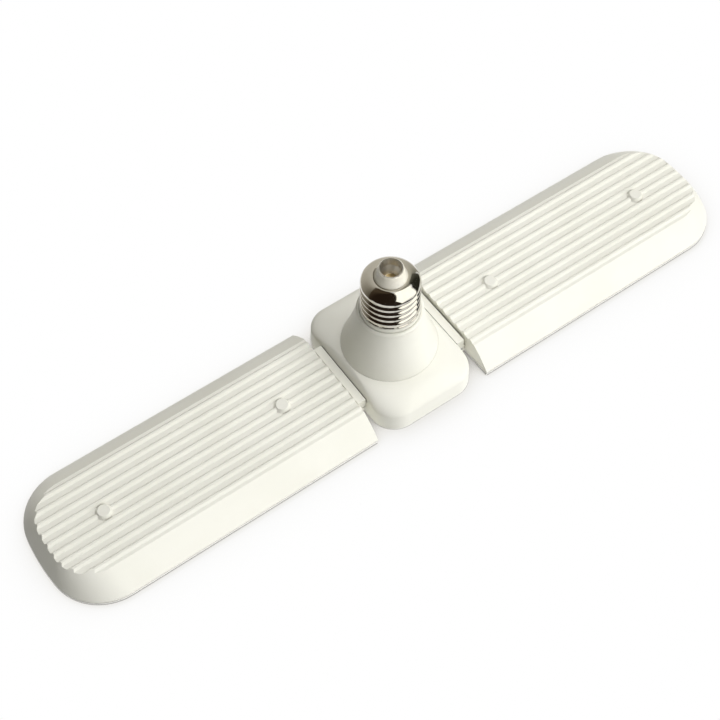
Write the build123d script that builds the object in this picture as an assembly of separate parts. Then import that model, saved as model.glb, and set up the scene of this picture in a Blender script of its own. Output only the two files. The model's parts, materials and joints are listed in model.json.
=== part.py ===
from build123d import *
import math
import os

# LED bulb with an E27 cap and two light panels that fold down from a central hub.
# Millimetres. X runs along the panels, Z is up towards the cap's contact, and the
# origin is on the cap's axis, at the level of the lenses, where the lamp rests.

os.makedirs("parts", exist_ok=True)

# Light panels: outline and section
PANEL_ROOT_X = 30.3
PANEL_TIP_X = 179.5
PANEL_HALF_WIDTH = 33.8
PANEL_CORNER_R = 24.5
TIP_BOW_R = 110.0
PLATEAU_HALF_WIDTH = 23.4
PLATEAU_TIP_X = 174.4
PLATEAU_CORNER_R = 17.0
LENS_EDGE = 1.9
SLOPE_FOOT_Z = 2.7
PLATEAU_Z = 11.9
SLOPE_SWELL = 0.08
PANEL_WALL = 1.6

# Ribs and bosses on the back of each panel
RIB_COUNT = 9
RIB_PITCH = 5.14
RIB_HEIGHT = 1.0
RIB_BASE_WIDTH = 2.9
RIB_TOP_WIDTH = 0.9
BOSS_X = (57.8, 147.0)
BOSS_BASE_R = 3.9
BOSS_TOP_R = 2.7
BOSS_HEIGHT = 1.7

# Inside of a panel
CAVITY_STEP_Z = 4.0
CAVITY_RIM_INSET = 2.8
CAVITY_TOP_Z = PLATEAU_Z - PANEL_WALL
BOARD_TOP_Z = 6.0
LED_BOARD_THICKNESS = 1.0
LED_BOARD_GAP = 0.8
LED_BOARD_ROOT_X = 33.0
POST_R = 3.4
PILOT_R = 1.1
PILOT_DEPTH = 6.0
STIFFENER_Y = 19.0
STIFFENER_WALL = 1.2
STIFFENER_X = (42.0, 158.0)

# Light-emitting chips under the board
CHIP_LENGTH = 3.5
CHIP_WIDTH = 2.8
CHIP_HEIGHT = 0.7
CHIP_ROWS = 5
CHIP_COLUMNS = 13
CHIP_ROW_PITCH = 10.5
CHIP_COLUMN_PITCH = 10.2
CHIP_FIRST_X = 43.0
CHIP_SCREW_CLEARANCE = 5.2

# Lens
LENS_THICKNESS = 1.5
LENS_EDGE_ROUND = 0.5
LENS_REVEAL_HEIGHT = 0.5
LENS_REVEAL_DEPTH = 1.3
LIP_CLEARANCE = 0.15
LIP_THICKNESS = 1.2
LIP_TOP_Z = 3.7

# Hinge: under the tongue's top plate, a knuckle on the hub sits between two lugs on the panel
HINGE_X = 28.4
HINGE_Z = 2.5
TONGUE_HALF_WIDTH = 17.5
TONGUE_TOP_Z = 10.0
TONGUE_PLATE_Z = 5.2
TONGUE_PLATE_X = 29.3
TONGUE_GROOVE_X = (25.05, 25.4)
TONGUE_GROOVE_DEPTH = 2.0
KNUCKLE_R = 1.6
KNUCKLE_HALF_WIDTH = 12.5
LUG_INNER_Y = 12.9
LUG_OUTER_Y = 17.3
LUG_R = 2.3
PIN_R = 1.0
PIN_CLEARANCE = 0.05
PIN_INNER_Y = 6.5
PIN_OUTER_Y = 17.0
WASHER_R = 1.55
WASHER_THICKNESS = 0.35

# Lead passage through the tongue and the panel's root wall
LEAD_R = 0.8
LEAD_Y = 1.5
LEAD_Z = BOARD_TOP_Z + LEAD_R
PASSAGE_HALF_WIDTH = 3.6
PASSAGE_LOW_Z = 5.5
PASSAGE_HIGH_Z = 8.1
PANEL_LEAD_END_X = 39.0

# Hub: a rounded block with a crisp edge, whose shoulder curves up to the cone's foot
HUB_HALF_X = 25.2
HUB_HALF_Y = 34.2
HUB_CORNER_R = 11.6
HUB_DRAFT = 0.4
HUB_WALL_TOP_Z = 8.5
HUB_WALL = 2.0
SHOULDER_TOP_Z = 13.8
SHOULDER_HALF_X = 22.2
SHOULDER_HALF_Y = 24.5
SHOULDER_CORNER_R = 20.5
SHOULDER_POWER = 1.7
SHOULDER_STEPS = 7

# Cone and neck that carry the cap
CONE_FOOT_R = 21.9
CONE_FOOT_Z = 14.0
CONE_ROOT_Z = 10.0
CONE_HOLLOW = 0.7
NECK_R = 15.0
NECK_Z = 39.3
NECK_EDGE_R = 0.6
COLLAR_HEIGHT = 1.7
COLLAR_STEP = 0.3
SEAT_R = 13.4
SEAT_Z = 41.4
SPIGOT_R = 11.7
SPIGOT_TOP_Z = 50.0
NECK_BORE_R = 10.1
CONE_WALL = 2.0

# E27 cap
CAP_CREST_R = 13.15
SHELL_BORE_R = 11.75
SHELL_SHOULDER_Z = 58.6
SHELL_DOME_R = 11.6
SHELL_DOME_Z = 60.9
SHELL_TOP_Z = 62.6
SHELL_TOP_R = 8.3
SHELL_SKIN = 0.4
INSULATOR_BASE_Z = 56.2
INSULATOR_TOP_Z = 68.0
INSULATOR_TOP_R = 5.45
CONTACT_R = 5.25
CONTACT_TOP_Z = 68.4
CONTACT_SKIN = 0.3
CUP_WAIST_R = 4.7
CUP_WAIST_Z = 64.6
CUP_FLOOR_R = 3.1
CUP_FLOOR_Z = 60.6
RIVET_STEM_R = 1.3
RIVET_HEAD_R = 2.6
RIVET_HEAD_HEIGHT = 0.4
RIVET_FOOT_Z = 57.0

# Hub cover and its screws
COVER_THICKNESS = 2.4
COVER_GAP = 0.2
COVER_SCREW_XY = (16.5, 24.5)
COVER_POST_R = 3.2
COVER_POST_TOP_Z = 12.0
SCREW_HEAD_R = 2.5
SCREW_SHANK_R = 1.2
SCREW_RECESS_R = 2.9
SCREW_RECESS_DEPTH = 1.5
COVER_SCREW_TOP_Z = 8.6

# Driver board
DRIVER_HALF = 20.8
DRIVER_THICKNESS = 1.6
DRIVER_LOW_Z = BOARD_TOP_Z - DRIVER_THICKNESS
DRIVER_PILLAR_XY = (12.0, 15.0)
DRIVER_PILLAR_R = 1.8
TERMINAL_X = (14.2, 19.2)

SIDES = {"left": -1, "right": 1}


def block(x0, x1, y0, y1, z0, z1):
    """A box given by its low and high corners."""
    centre = Pos((x0 + x1) / 2, (y0 + y1) / 2, (z0 + z1) / 2)
    return centre * Box(x1 - x0, y1 - y0, z1 - z0)


def rod(radius, x, y, z0, z1):
    """An upright round bar between two heights."""
    return Pos(x, y, (z0 + z1) / 2) * Cylinder(radius, z1 - z0)


def cross_rod(radius, x, z, y0, y1):
    """A round bar that lies along Y."""
    return Pos(x, (y0 + y1) / 2, z) * Rot(90, 0, 0) * Cylinder(radius, y1 - y0)


def lead_rod(radius, y, z, x0, x1):
    """A round bar that lies along X."""
    return Pos((x0 + x1) / 2, y, z) * Rot(0, 90, 0) * Cylinder(radius, x1 - x0)


def save(name, solids):
    """Write one named piece, or one group of like pieces, for the assembly."""
    parts = solids if isinstance(solids, list) else [solids]
    bodies = [solid for part in parts for solid in part.solids()]
    shape = bodies[0] if len(bodies) == 1 else Compound(children=bodies)
    shape.label = name
    export_step(shape, f"parts/{name}.step")


def placed(part, side):
    """A right-hand piece as it is, or turned half round Z for the left panel."""
    return part if side > 0 else Rot(0, 0, 180) * part


# Light panel

def panel_face(half_width, tip_x, corner_r, z, root_x=PANEL_ROOT_X):
    """Panel outline from above: square root, straight sides, round corners and a bowed tip."""
    bow_x = tip_x - TIP_BOW_R
    rise = half_width - corner_r
    corner_x = bow_x + math.sqrt((TIP_BOW_R - corner_r) ** 2 - rise**2)
    lean = math.atan2(rise, corner_x - bow_x)
    middle = (math.pi / 2 + lean) / 2
    touch_x = bow_x + TIP_BOW_R * math.cos(lean)
    touch_y = TIP_BOW_R * math.sin(lean)
    round_x = corner_x + corner_r * math.cos(middle)
    round_y = rise + corner_r * math.sin(middle)
    outline = [
        Line((root_x, -half_width), (corner_x, -half_width)),
        ThreePointArc((corner_x, -half_width), (round_x, -round_y), (touch_x, -touch_y)),
        ThreePointArc((touch_x, -touch_y), (tip_x, 0), (touch_x, touch_y)),
        ThreePointArc((touch_x, touch_y), (round_x, round_y), (corner_x, half_width)),
        Line((corner_x, half_width), (root_x, half_width)),
        Line((root_x, half_width), (root_x, -half_width)),
    ]
    return Pos(0, 0, z) * make_face(outline)


def slope_size(z, inset=0.0, swell=0.0):
    """Half width, tip and corner radius of the sloping wall at a height, less an inset."""
    rise = (z - SLOPE_FOOT_Z) / (PLATEAU_Z - SLOPE_FOOT_Z)
    t = rise - 4 * swell * rise * (1 - rise)
    half_width = PANEL_HALF_WIDTH + t * (PLATEAU_HALF_WIDTH - PANEL_HALF_WIDTH)
    tip_x = PANEL_TIP_X + t * (PLATEAU_TIP_X - PANEL_TIP_X)
    corner_r = PANEL_CORNER_R + t * (PLATEAU_CORNER_R - PANEL_CORNER_R)
    return half_width - inset, tip_x - inset, corner_r - inset


def rim_size(inset=0.0):
    """Half width, tip and corner radius at the panel's upright rim, less an inset."""
    return PANEL_HALF_WIDTH - inset, PANEL_TIP_X - inset, PANEL_CORNER_R - inset


def rib_bars():
    """The nine ribs as long bars with sloping flanks, still to be cut to the panel's outline."""
    low = PLATEAU_Z - 1.0
    high = PLATEAU_Z + RIB_HEIGHT + 0.2
    flank = (RIB_BASE_WIDTH - RIB_TOP_WIDTH) / 2 / RIB_HEIGHT
    half_low = RIB_BASE_WIDTH / 2 + flank * (PLATEAU_Z - low)
    half_high = RIB_TOP_WIDTH / 2 - flank * (high - PLATEAU_Z - RIB_HEIGHT)
    corners = [(-half_low, low), (half_low, low), (half_high, high), (-half_high, high)]
    profile = Plane.YZ * Polygon(*corners, align=None)
    bar = Pos(PANEL_ROOT_X - 1, 0, 0) * extrude(profile, PANEL_TIP_X - PANEL_ROOT_X + 2)
    middle = (RIB_COUNT - 1) / 2
    return [Pos(0, (n - middle) * RIB_PITCH, 0) * bar for n in range(RIB_COUNT)]


def panel_shell():
    """Outer form of a panel: rim, sloping walls, flat lands, ribs and the two bosses."""
    rib_top = PLATEAU_Z + RIB_HEIGHT
    rim = extrude(panel_face(*rim_size(), LENS_EDGE), SLOPE_FOOT_Z - LENS_EDGE)
    levels = (SLOPE_FOOT_Z, (SLOPE_FOOT_Z + rib_top) / 2, rib_top)
    slope = loft([panel_face(*slope_size(z, swell=SLOPE_SWELL), z) for z in levels])
    lands = block(PANEL_ROOT_X - 1, PANEL_TIP_X, -PANEL_HALF_WIDTH, PANEL_HALF_WIDTH, PLATEAU_Z, rib_top + 1)
    for bar in rib_bars():
        lands -= bar
    shell = rim + (slope - lands)
    for x in BOSS_X:
        shell += Pos(x, 0, PLATEAU_Z + BOSS_HEIGHT / 2) * Cone(BOSS_BASE_R, BOSS_TOP_R, BOSS_HEIGHT)
    return shell


def panel_cavity():
    """Space inside a panel, open underneath: an upright rim band, then walls that follow the slope."""
    root_x = PANEL_ROOT_X + PANEL_WALL
    band = panel_face(*rim_size(CAVITY_RIM_INSET), LENS_EDGE, root_x)
    wall_inset = CAVITY_RIM_INSET - (PANEL_HALF_WIDTH - slope_size(CAVITY_STEP_Z)[0])
    low = panel_face(*slope_size(CAVITY_STEP_Z, wall_inset), CAVITY_STEP_Z, root_x)
    high = panel_face(*slope_size(CAVITY_TOP_Z, wall_inset), CAVITY_TOP_Z, root_x)
    return extrude(band, CAVITY_STEP_Z - LENS_EDGE) + loft([low, high], ruled=True)


def hinge_lug(y_side):
    """One lug of the panel's root: a round eye round the pin, run back into the root wall."""
    y0, y1 = sorted((y_side * LUG_INNER_Y, y_side * LUG_OUTER_Y))
    eye = cross_rod(LUG_R, HINGE_X, HINGE_Z, y0, y1)
    eye -= block(PANEL_ROOT_X, PANEL_ROOT_X + LUG_R, y0, y1, 0, LENS_EDGE + 0.1)
    web = block(HINGE_X, PANEL_ROOT_X + PANEL_WALL, y0, y1, LENS_EDGE + 0.1, HINGE_Z + LUG_R)
    return eye + web


def panel_housing():
    """White moulding of one panel, with screw posts under the bosses and two hinge lugs."""
    body = panel_shell() - panel_cavity()
    for x in BOSS_X:
        body += rod(POST_R, x, 0, BOARD_TOP_Z, CAVITY_TOP_Z + 0.2)
    for y in (-STIFFENER_Y, STIFFENER_Y):
        half = STIFFENER_WALL / 2
        body += block(*STIFFENER_X, y - half, y + half, BOARD_TOP_Z, CAVITY_TOP_Z + 0.2)
    for y_side in (-1, 1):
        body += hinge_lug(y_side)
    for x in BOSS_X:
        body -= rod(PILOT_R, x, 0, BOARD_TOP_Z, BOARD_TOP_Z + PILOT_DEPTH)
    pin_hole = PIN_R + PIN_CLEARANCE
    body -= cross_rod(pin_hole, HINGE_X, HINGE_Z, -LUG_OUTER_Y - 1, LUG_OUTER_Y + 1)
    passage_x = (PANEL_ROOT_X - 1, PANEL_ROOT_X + PANEL_WALL + 0.2)
    body -= block(*passage_x, -PASSAGE_HALF_WIDTH, PASSAGE_HALF_WIDTH, PASSAGE_LOW_Z, PASSAGE_HIGH_Z)
    return body


def led_board_size():
    """Half width, tip and corner radius of the board that fits the cavity at its top face."""
    wall_inset = CAVITY_RIM_INSET - (PANEL_HALF_WIDTH - slope_size(CAVITY_STEP_Z)[0])
    return slope_size(BOARD_TOP_Z, wall_inset + LED_BOARD_GAP)


def led_board():
    """Aluminium board screwed up against the posts and stiffeners."""
    low_z = BOARD_TOP_Z - LED_BOARD_THICKNESS
    board = extrude(panel_face(*led_board_size(), low_z, LED_BOARD_ROOT_X), LED_BOARD_THICKNESS)
    for x in BOSS_X:
        board -= rod(SCREW_SHANK_R + 0.15, x, 0, low_z - 1, BOARD_TOP_Z + 1)
    return board


def led_chips():
    """Rows of chips under the board, left out round the screws and past the round corners."""
    low_z = BOARD_TOP_Z - LED_BOARD_THICKNESS - CHIP_HEIGHT
    half_width, tip_x, corner_r = led_board_size()
    chips = []
    for column in range(CHIP_COLUMNS):
        x = CHIP_FIRST_X + column * CHIP_COLUMN_PITCH
        for row in range(CHIP_ROWS):
            y = (row - (CHIP_ROWS - 1) / 2) * CHIP_ROW_PITCH
            past_corner = math.hypot(max(0, x - tip_x + corner_r), max(0, abs(y) - half_width + corner_r))
            near_screw = min(math.hypot(x - boss_x, y) for boss_x in BOSS_X)
            if past_corner < corner_r - CHIP_LENGTH and near_screw > CHIP_SCREW_CLEARANCE:
                chips.append(Pos(x, y, low_z + CHIP_HEIGHT / 2) * Box(CHIP_LENGTH, CHIP_WIDTH, CHIP_HEIGHT))
    return chips


def lens():
    """Milky lens: a flat plate with a rounded edge, a shadow gap below the rim and a snap-in lip."""
    plate = extrude(panel_face(*rim_size(), 0), LENS_EDGE - LENS_REVEAL_HEIGHT)
    plate = fillet(plate.edges().group_by(Axis.Z)[0], LENS_EDGE_ROUND)
    step_root = PANEL_ROOT_X + LENS_REVEAL_DEPTH
    step_low = LENS_EDGE - LENS_REVEAL_HEIGHT
    plate += extrude(panel_face(*rim_size(LENS_REVEAL_DEPTH), step_low, step_root), LENS_REVEAL_HEIGHT)
    lip_inset = CAVITY_RIM_INSET + LIP_CLEARANCE
    lip_root = PANEL_ROOT_X + PANEL_WALL + LIP_CLEARANCE
    plate += extrude(panel_face(*rim_size(lip_inset), LENS_THICKNESS, lip_root), LIP_TOP_Z - LENS_THICKNESS)
    well_inset = lip_inset + LIP_THICKNESS
    well_root = lip_root + LIP_THICKNESS
    plate -= extrude(panel_face(*rim_size(well_inset), LENS_THICKNESS, well_root), LIP_TOP_Z)
    return plate


def screw(x, y, head_z, top_z):
    """Pan-head tapping screw driven upwards; its thread is left plain."""
    head = rod(SCREW_HEAD_R, x, y, head_z, head_z + 1.2)
    head = fillet(head.edges().group_by(Axis.Z)[0], 0.5)
    return head + rod(SCREW_SHANK_R - 0.1, x, y, head_z + 1.2, top_z)


def board_screws():
    """The two screws that hold the board to the posts under the bosses."""
    head_z = BOARD_TOP_Z - LED_BOARD_THICKNESS - 1.2
    return [screw(x, 0, head_z, BOARD_TOP_Z + PILOT_DEPTH - 1) for x in BOSS_X]


def panel_leads():
    """The two leads from the root wall to their joints on the board."""
    return [lead_rod(LEAD_R, y, LEAD_Z, PANEL_ROOT_X + 0.15, PANEL_LEAD_END_X) for y in (-LEAD_Y, LEAD_Y)]


# Hinge pieces on the hub

def hinge_pins(side):
    """Two steel pins pressed into the knuckle's ends."""
    pins = []
    for y_side in (-1, 1):
        y0, y1 = sorted((y_side * PIN_INNER_Y, y_side * PIN_OUTER_Y))
        pins.append(cross_rod(PIN_R, side * HINGE_X, HINGE_Z, y0, y1))
    return pins


def friction_washers(side):
    """Two washers between the knuckle's ends and the lugs; their squeeze holds the panel where it's put."""
    washers = []
    for y_side in (-1, 1):
        y0, y1 = sorted((y_side * KNUCKLE_HALF_WIDTH, y_side * (KNUCKLE_HALF_WIDTH + WASHER_THICKNESS)))
        ring = cross_rod(WASHER_R, side * HINGE_X, HINGE_Z, y0, y1)
        washers.append(ring - cross_rod(PIN_R, side * HINGE_X, HINGE_Z, y0 - 1, y1 + 1))
    return washers


# Hub

def hub_section(angle, inset=0.0, drop=0.0):
    """One level of the hub's shoulder, by its angle along the flattened quarter ellipse."""
    out = 1 - math.cos(angle) ** (2 / SHOULDER_POWER)
    up = math.sin(angle) ** (2 / SHOULDER_POWER)
    half_x = HUB_HALF_X + (SHOULDER_HALF_X - HUB_HALF_X) * out - inset
    half_y = HUB_HALF_Y + (SHOULDER_HALF_Y - HUB_HALF_Y) * out - inset
    corner_r = HUB_CORNER_R + (SHOULDER_CORNER_R - HUB_CORNER_R) * out - inset
    z = HUB_WALL_TOP_Z + (SHOULDER_TOP_Z - HUB_WALL_TOP_Z - drop) * up
    return Pos(0, 0, z) * RectangleRounded(2 * half_x, 2 * half_y, corner_r)


def hub_block(low_z, inset=0.0, drop=0.0, draft=0.0):
    """Wall and shoulder of the hub, solid; an inset and a drop give its cavity."""
    angles = [math.pi / 2 * n / SHOULDER_STEPS for n in range(SHOULDER_STEPS + 1)]
    foot = Pos(0, 0, low_z - HUB_WALL_TOP_Z) * hub_section(0, inset - draft)
    wall = loft([foot, hub_section(0, inset)], ruled=True)
    return wall + loft([hub_section(angle, inset, drop) for angle in angles])


def turned(points_r_z):
    """A solid of revolution about Z from points given as radius and height."""
    return revolve(Plane.XZ * make_face(Polyline(*points_r_z, close=True)), Axis.Z)


def cone_outer():
    """Slightly hollow cone, neck collar, cap seat and the spigot inside the shell."""
    slope = (CONE_FOOT_R - NECK_R) / (NECK_Z - CONE_FOOT_Z)
    root = (CONE_FOOT_R + slope * (CONE_FOOT_Z - CONE_ROOT_Z), CONE_ROOT_Z)
    foot = (CONE_FOOT_R, CONE_FOOT_Z)
    throat = (NECK_R - COLLAR_STEP, NECK_Z - COLLAR_HEIGHT)
    middle = ((CONE_FOOT_R + NECK_R) / 2 - CONE_HOLLOW, (CONE_FOOT_Z + NECK_Z) / 2)
    edges = [
        Line((0, CONE_ROOT_Z), root),
        Line(root, foot),
        ThreePointArc(foot, middle, throat),
        Line(throat, (NECK_R, NECK_Z - COLLAR_HEIGHT + COLLAR_STEP)),
        Line((NECK_R, NECK_Z - COLLAR_HEIGHT + COLLAR_STEP), (NECK_R, NECK_Z - NECK_EDGE_R)),
        Line((NECK_R, NECK_Z - NECK_EDGE_R), (NECK_R - NECK_EDGE_R, NECK_Z)),
        Line((NECK_R - NECK_EDGE_R, NECK_Z), (SEAT_R, NECK_Z)),
        Line((SEAT_R, NECK_Z), (SEAT_R, SEAT_Z)),
        Line((SEAT_R, SEAT_Z), (SPIGOT_R, SEAT_Z)),
        Line((SPIGOT_R, SEAT_Z), (SPIGOT_R, SPIGOT_TOP_Z)),
        Line((SPIGOT_R, SPIGOT_TOP_Z), (0, SPIGOT_TOP_Z)),
        Line((0, SPIGOT_TOP_Z), (0, CONE_ROOT_Z)),
    ]
    return revolve(Plane.XZ * make_face(edges), Axis.Z)


def cone_cavity():
    """Bore of the cone and neck, one wall inside the outer form."""
    high_z = NECK_Z - CONE_WALL
    return turned([
        (0, CONE_ROOT_Z),
        (CONE_FOOT_R - CONE_WALL - CONE_HOLLOW, CONE_ROOT_Z),
        (CONE_FOOT_R - CONE_WALL - CONE_HOLLOW, CONE_FOOT_Z),
        (NECK_R - CONE_WALL - CONE_HOLLOW, high_z),
        (NECK_BORE_R, high_z),
        (NECK_BORE_R, SPIGOT_TOP_Z + 1),
        (0, SPIGOT_TOP_Z + 1),
    ])


def tongue(side):
    """Flat hinge tongue over a knuckle that is round below the pin, so that the panel can swing past."""
    inner_x = HUB_HALF_X - HUB_WALL + 0.2
    wide = TONGUE_HALF_WIDTH
    half = KNUCKLE_HALF_WIDTH
    body = block(inner_x, TONGUE_PLATE_X, -wide, wide, TONGUE_PLATE_Z, TONGUE_TOP_Z)
    body += block(inner_x, TONGUE_PLATE_X, -half, half, HINGE_Z, TONGUE_PLATE_Z + 0.1)
    body += block(inner_x, HINGE_X, -half, half, HINGE_Z - KNUCKLE_R, HINGE_Z)
    body += cross_rod(KNUCKLE_R, HINGE_X, HINGE_Z, -half, half)
    return placed(body, side)


def tongue_groove(side):
    """Fine groove along the tongue's root, seen as a dark line beside the hub's wall."""
    low_z = TONGUE_TOP_Z - TONGUE_GROOVE_DEPTH
    groove = block(*TONGUE_GROOVE_X, -TONGUE_HALF_WIDTH - 1, TONGUE_HALF_WIDTH + 1, low_z, TONGUE_TOP_Z + 0.05)
    return placed(groove, side)


def hub_housing():
    """White moulding of the hub, hollow and open underneath, with both tongues."""
    body = hub_block(0, draft=HUB_DRAFT) + cone_outer()
    for side in SIDES.values():
        body += tongue(side)
        body -= tongue_groove(side)
    body -= hub_block(-1, HUB_WALL, HUB_WALL)
    body -= cone_cavity()
    for x_side in (-1, 1):
        for y_side in (-1, 1):
            x = x_side * COVER_SCREW_XY[0]
            y = y_side * COVER_SCREW_XY[1]
            post = rod(COVER_POST_R, x, y, COVER_THICKNESS, COVER_POST_TOP_Z)
            body += post - rod(PILOT_R, x, y, COVER_THICKNESS - 1, COVER_SCREW_TOP_Z + 0.4)
    passage_x = TONGUE_PLATE_X + 1
    body -= block(-passage_x, passage_x, -PASSAGE_HALF_WIDTH, PASSAGE_HALF_WIDTH, PASSAGE_LOW_Z, PASSAGE_HIGH_Z)
    for x in (-HINGE_X, HINGE_X):
        body -= cross_rod(PIN_R, x, HINGE_Z, -KNUCKLE_HALF_WIDTH - 1, -PIN_INNER_Y)
        body -= cross_rod(PIN_R, x, HINGE_Z, PIN_INNER_Y, KNUCKLE_HALF_WIDTH + 1)
    return body


def cover_corners():
    """The four places of the cover's screws."""
    return [(x * COVER_SCREW_XY[0], y * COVER_SCREW_XY[1]) for x in (-1, 1) for y in (-1, 1)]


def hub_cover():
    """Plate that closes the hub underneath, with recessed screw holes and pillars for the driver board."""
    half_x = HUB_HALF_X - HUB_WALL - COVER_GAP
    half_y = HUB_HALF_Y - HUB_WALL - COVER_GAP
    plate = extrude(RectangleRounded(2 * half_x, 2 * half_y, HUB_CORNER_R - HUB_WALL - COVER_GAP), COVER_THICKNESS)
    for x, y in cover_corners():
        plate -= rod(SCREW_SHANK_R + 0.15, x, y, -1, COVER_THICKNESS + 1)
        plate -= rod(SCREW_RECESS_R, x, y, -1, SCREW_RECESS_DEPTH)
    for x in (-DRIVER_PILLAR_XY[0], DRIVER_PILLAR_XY[0]):
        for y in (-DRIVER_PILLAR_XY[1], DRIVER_PILLAR_XY[1]):
            plate += rod(DRIVER_PILLAR_R, x, y, COVER_THICKNESS - 0.2, DRIVER_LOW_Z)
    return plate


def cover_screws():
    """The four screws that hold the cover."""
    return [screw(x, y, SCREW_RECESS_DEPTH - 1.2, COVER_SCREW_TOP_Z) for x, y in cover_corners()]


# Cap

def screw_shell():
    """Plated brass shell as a plain sleeve at the thread's crest, with a domed top."""
    top = (SHELL_TOP_R, SHELL_TOP_Z)
    top_inside = (SHELL_TOP_R, SHELL_TOP_Z - SHELL_SKIN)
    shoulder = (CAP_CREST_R, SHELL_SHOULDER_Z)
    shoulder_inside = (SHELL_BORE_R, SHELL_SHOULDER_Z - SHELL_SKIN)
    edges = [
        Line((SHELL_BORE_R, SEAT_Z), (CAP_CREST_R, SEAT_Z)),
        Line((CAP_CREST_R, SEAT_Z), shoulder),
        ThreePointArc(shoulder, (SHELL_DOME_R, SHELL_DOME_Z), top),
        Line(top, top_inside),
        Line(top_inside, shoulder_inside),
        Line(shoulder_inside, (SHELL_BORE_R, SEAT_Z)),
    ]
    return revolve(Plane.XZ * make_face(edges), Axis.Z)


def cup_side(offset):
    """Half section of the contact's deep cup from its rim to its floor, moved outwards."""
    rim = (CONTACT_R - CONTACT_SKIN + offset, CONTACT_TOP_Z)
    waist = (CUP_WAIST_R - CONTACT_SKIN + offset, CUP_WAIST_Z)
    floor = (CUP_FLOOR_R - CONTACT_SKIN + offset, CUP_FLOOR_Z + CONTACT_SKIN - offset)
    return [rim, waist, floor]


def cap_insulator():
    """Insulating cone between the shell's top and the centre contact, with a socket for the cup."""
    rim, waist, floor = cup_side(CONTACT_SKIN)
    return turned([
        (RIVET_STEM_R, INSULATOR_BASE_Z),
        (SHELL_BORE_R, INSULATOR_BASE_Z),
        (SHELL_BORE_R, SHELL_SHOULDER_Z - SHELL_SKIN),
        (SHELL_TOP_R, SHELL_TOP_Z - SHELL_SKIN),
        (SHELL_TOP_R, SHELL_TOP_Z + 0.2),
        (INSULATOR_TOP_R, INSULATOR_TOP_Z),
        (rim[0], INSULATOR_TOP_Z),
        waist,
        floor,
        (RIVET_STEM_R, floor[1]),
    ])


def centre_contact():
    """Deep-drawn contact cup whose rim touches the lampholder's spring."""
    inside = cup_side(0)
    outside = cup_side(CONTACT_SKIN)
    return turned([(RIVET_STEM_R, inside[2][1])] + inside[::-1] + outside + [(RIVET_STEM_R, outside[2][1])])


def contact_rivet():
    """Brass rivet at the bottom of the cup, which holds it down and takes the live lead."""
    floor_z = CUP_FLOOR_Z + CONTACT_SKIN
    dome_r = (RIVET_HEAD_R**2 + RIVET_HEAD_HEIGHT**2) / 2 / RIVET_HEAD_HEIGHT
    ball = Pos(0, 0, floor_z + RIVET_HEAD_HEIGHT - dome_r) * Sphere(dome_r)
    head = ball & rod(RIVET_HEAD_R + 1, 0, 0, floor_z, floor_z + 2)
    return head + rod(RIVET_STEM_R, 0, 0, RIVET_FOOT_Z, floor_z)


# Driver

def driver_board():
    """Square circuit board on the cover's pillars."""
    plate = block(-DRIVER_HALF, DRIVER_HALF, -DRIVER_HALF, DRIVER_HALF, DRIVER_LOW_Z, BOARD_TOP_Z)
    return chamfer(plate.edges().filter_by(Axis.Z), 3.0)


def smoothing_capacitor():
    """Electrolytic can, upright in the cone, with its rolled groove."""
    can_r = 5.0
    can = rod(can_r, -6.5, -6.5, BOARD_TOP_Z, BOARD_TOP_Z + 20)
    can = fillet(can.edges().filter_by(GeomType.CIRCLE).group_by(Axis.Z)[-1], 0.8)
    groove = rod(can_r + 1, -6.5, -6.5, BOARD_TOP_Z + 2, BOARD_TOP_Z + 3)
    return can - (groove - rod(can_r - 0.5, -6.5, -6.5, BOARD_TOP_Z + 1, BOARD_TOP_Z + 4))


def film_capacitor():
    """Boxed film capacitor across the mains input."""
    return block(1, 12, -17, -12, BOARD_TOP_Z, BOARD_TOP_Z + 5.0)


def inductor_core():
    """Ferrite drum of the power inductor: two flanges on a thinner post."""
    x, y, low = 7.5, -3.0, BOARD_TOP_Z
    drum = rod(5.0, x, y, low, low + 1.6) + rod(2.2, x, y, low + 1.6, low + 10.4)
    return drum + rod(5.0, x, y, low + 10.4, low + 12)


def inductor_winding():
    """Copper winding round the drum's post, as its outer form."""
    x, y, low = 7.5, -3.0, BOARD_TOP_Z
    return rod(4.4, x, y, low + 1.6, low + 10.4) - rod(2.2, x, y, low + 1, low + 11)


def bridge_rectifier():
    """Small moulded rectifier with four legs on the board."""
    x, y, low = -14.0, 12.0, BOARD_TOP_Z
    body = block(x - 2.3, x + 2.3, y - 2.4, y + 2.4, low + 0.3, low + 2.6)
    body = chamfer(body.edges().group_by(Axis.Z)[-1], 0.3)
    for leg_x in (x - 3.2, x + 2.2):
        for leg_y in (y - 1.3, y + 1.3):
            body += block(leg_x, leg_x + 1.0, leg_y - 0.35, leg_y + 0.35, low, low + 0.8)
    return body


def driver_chip():
    """Eight-legged driver chip."""
    body = block(-2.5, 2.5, 12.0, 16.0, BOARD_TOP_Z + 0.2, BOARD_TOP_Z + 1.6)
    body = chamfer(body.edges().group_by(Axis.Z)[-1], 0.25)
    for n in range(4):
        x = (n - 1.5) * 1.27
        for y in (11.1, 15.9):
            body += block(x - 0.2, x + 0.2, y, y + 1.0, BOARD_TOP_Z, BOARD_TOP_Z + 0.6)
    return body


def fuse_resistor():
    """Wire-wound fuse resistor lying on the board, with its end caps."""
    axis_z = BOARD_TOP_Z + 1.9
    body = lead_rod(1.6, 8.0, axis_z, 1.5, 10.5)
    body += lead_rod(1.9, 8.0, axis_z, 0.7, 2.2)
    return body + lead_rod(1.9, 8.0, axis_z, 9.8, 11.3)


def output_terminals():
    """Two terminal blocks on the board where the panels' leads begin."""
    inner = block(TERMINAL_X[0], TERMINAL_X[1], -4.0, 4.0, BOARD_TOP_Z, BOARD_TOP_Z + 4.0)
    return [placed(inner, side) for side in SIDES.values()]


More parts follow.
